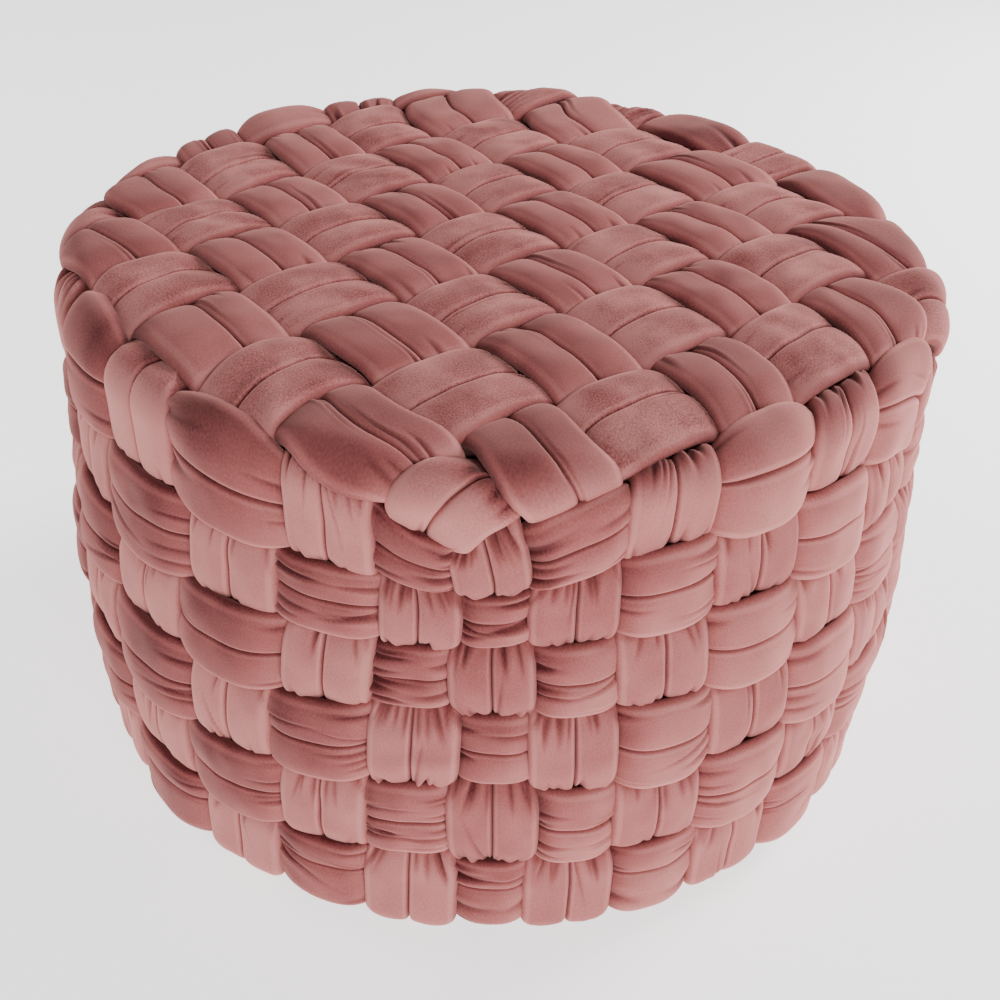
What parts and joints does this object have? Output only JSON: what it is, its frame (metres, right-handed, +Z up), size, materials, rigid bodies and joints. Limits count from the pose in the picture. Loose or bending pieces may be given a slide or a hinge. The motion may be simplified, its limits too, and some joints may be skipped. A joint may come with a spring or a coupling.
{
  "type": "braided pouf",
  "caption": "Round pouf with padded ribbed velvet strands woven over its top and down its side round a firm inner drum, standing on a flat base.",
  "frame": {"origin": "centre of the flat underside, on the surface the pouf stands on", "axes": "+Z up through the top, -Y towards the front, +X to the right"},
  "size_m": [0.5596, 0.5597, 0.345],
  "materials": {
    "velvet": "dusty rose velvet with a short brushed pile",
    "lining": "plain matt grey lining cloth"
  },
  "bodies": {
    "root": {"strand_across_1": "velvet", "strand_across_2": "velvet", "strand_across_3": "velvet", "strand_across_4": "velvet", "strand_across_5": "velvet", "strand_across_6": "velvet", "strand_across_7": "velvet", "strand_along_1": "velvet", "strand_along_2": "velvet", "strand_along_3": "velvet", "strand_along_4": "velvet", "strand_along_5": "velvet", "strand_along_6": "velvet", "strand_along_7": "velvet", "strand_ring_1": "velvet", "strand_ring_2": "velvet", "strand_ring_3": "velvet", "strand_ring_4": "velvet", "strand_ring_5": "velvet", "strand_ring_6": "velvet", "inner_drum": "lining"}
  },
  "joints": []
}
